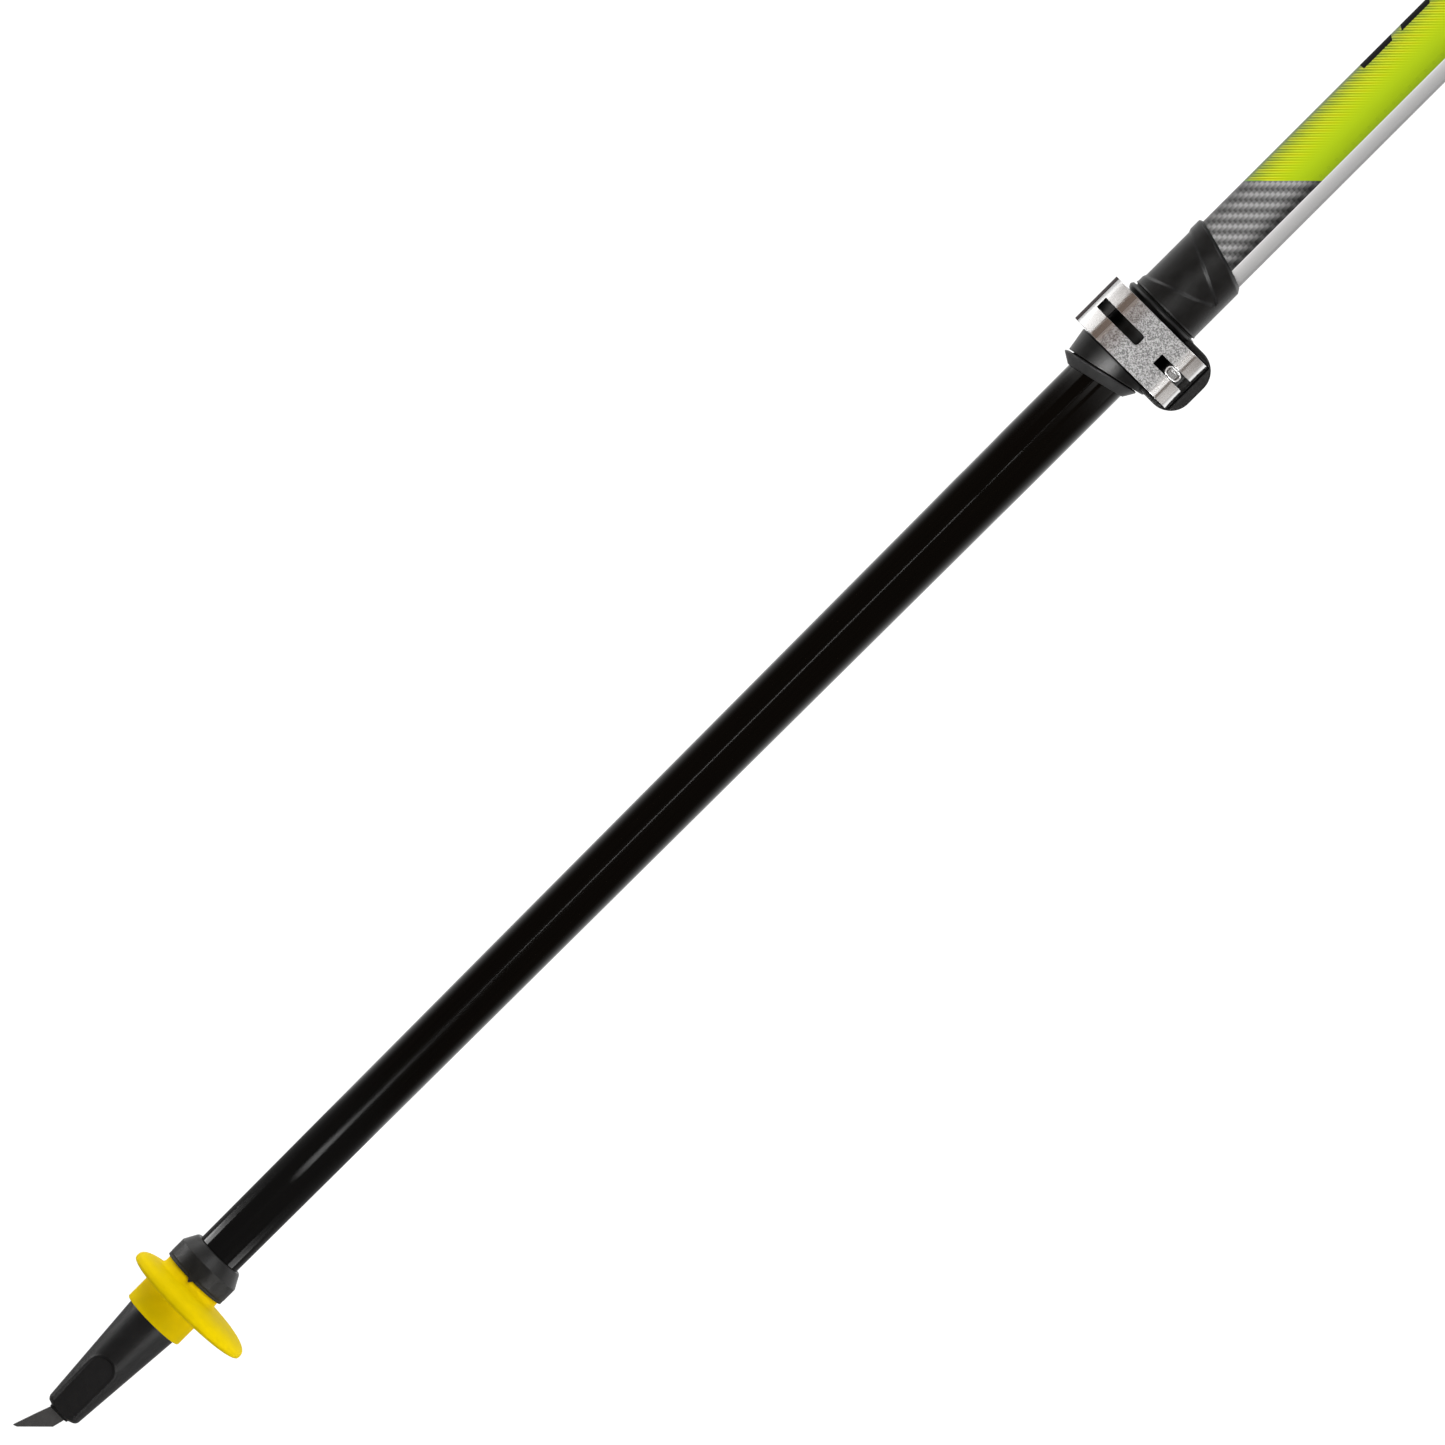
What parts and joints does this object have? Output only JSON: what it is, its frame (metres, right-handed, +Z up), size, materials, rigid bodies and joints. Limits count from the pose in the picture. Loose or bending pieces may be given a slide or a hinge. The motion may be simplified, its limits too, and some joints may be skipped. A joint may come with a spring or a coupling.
{
  "type": "ski pole",
  "caption": "Two-section adjustable ski pole: tapered lower tube, lever clamp, off-centre basket, hooked hard-metal tip, grip with wrist strap.",
  "frame": {"origin": "where the shaft axis meets the ground face of the tip's blade", "axes": "+Z up the shaft from tip to grip, +X the side the blade's ground face looks to, -Y the side of the lever"},
  "size_m": [0.0932, 0.036, 1.1776],
  "materials": {
    "shaft_black": "deep gloss black lacquer over aluminium",
    "shaft_print": "printed and clear lacquered aluminium",
    "tip_plastic": "fine moulded texture",
    "blade_metal": "ground hard metal, matt",
    "basket_yellow": "moulded, satin",
    "washer_rubber": "matt black rubber",
    "collar_plastic": "moulded, faintly mottled",
    "plug_plastic": "moulded",
    "bush_plastic": "slippery white plastic",
    "clamp_plastic": "glass-filled, fine grain",
    "liner_plastic": "slippery grey plastic",
    "wiper_rubber": "matt",
    "plate_plastic": "ribbed, waxy",
    "lever_metal": "blasted face, bright cut edges",
    "steel": "zinc-plated steel",
    "screw_steel": "bright steel",
    "grip_plastic": "moulded, fine texture",
    "grip_foam": "soft foamed hand section",
    "ring_plastic": "moulded",
    "cap_rubber": "soft cap",
    "webbing": "woven polyester webbing",
    "pad_cloth": "knitted lining",
    "keeper_plastic": "moulded"
  },
  "bodies": {
    "lower_section": {"lower_tube": "shaft_black", "tip_body": "tip_plastic", "tip_blade": "blade_metal", "basket_washer": "washer_rubber", "basket_collar": "collar_plastic", "tube_plug": "plug_plastic"},
    "basket": {"basket": "basket_yellow"},
    "guide_bush": {"guide_bush": "bush_plastic"},
    "upper_section": {"upper_tube": "shaft_print", "clamp_body": "clamp_plastic", "clamp_liner": "liner_plastic", "wiper_skirt": "wiper_rubber", "bearing_plate": "plate_plastic", "nut_washer": "steel", "grip_core": "grip_plastic", "grip_sleeve": "grip_foam", "grip_ring": "ring_plastic", "grip_cap": "cap_rubber", "strap_pin": "screw_steel"},
    "tension_nut": {"tension_nut": "steel"},
    "tension_screw": {"tension_screw": "screw_steel", "cam_pin": "steel"},
    "lever": {"clamp_lever": "lever_metal"},
    "strap": {"wrist_strap": "webbing", "strap_pad": "pad_cloth", "strap_keeper": "keeper_plastic"}
  },
  "joints": [
    {"name": "basket_twist", "type": "hinge", "parent": "lower_section", "child": "basket", "pos_m": [0, 0, 0.0465], "axis": [0, 0, 1], "range_deg": [0, 60]},
    {"name": "section_turn", "type": "hinge", "parent": "lower_section", "child": "guide_bush", "pos_m": [0, 0, 0.658], "axis": [0, 0, 1], "continuous": true},
    {"name": "length_slide", "type": "slide", "parent": "guide_bush", "child": "upper_section", "axis": [0, 0, 1], "range_m": [-0.3, 0.17]},
    {"name": "nut_turn", "type": "hinge", "parent": "upper_section", "child": "tension_nut", "pos_m": [0.0125, 0.009, 0.3851], "axis": [0, 1, 0], "range_deg": [0, 720]},
    {"name": "screw_travel", "type": "slide", "parent": "upper_section", "child": "tension_screw", "axis": [0, -1, 0], "range_m": [0, 0.00101]},
    {"name": "lever_open", "type": "hinge", "parent": "tension_screw", "child": "lever", "pos_m": [0.0125, -0.00915, 0.385], "axis": [0, 0, 1], "range_deg": [0, 140]},
    {"name": "strap_swing", "type": "hinge", "parent": "upper_section", "child": "strap", "pos_m": [-0.0185, 0, 1.152], "axis": [0, 1, 0], "range_deg": [0, 100]}
  ],
  "couplings": [
    {"joint": "screw_travel", "follows": "nut_turn", "m_per_rad": 0.000079577}
  ]
}
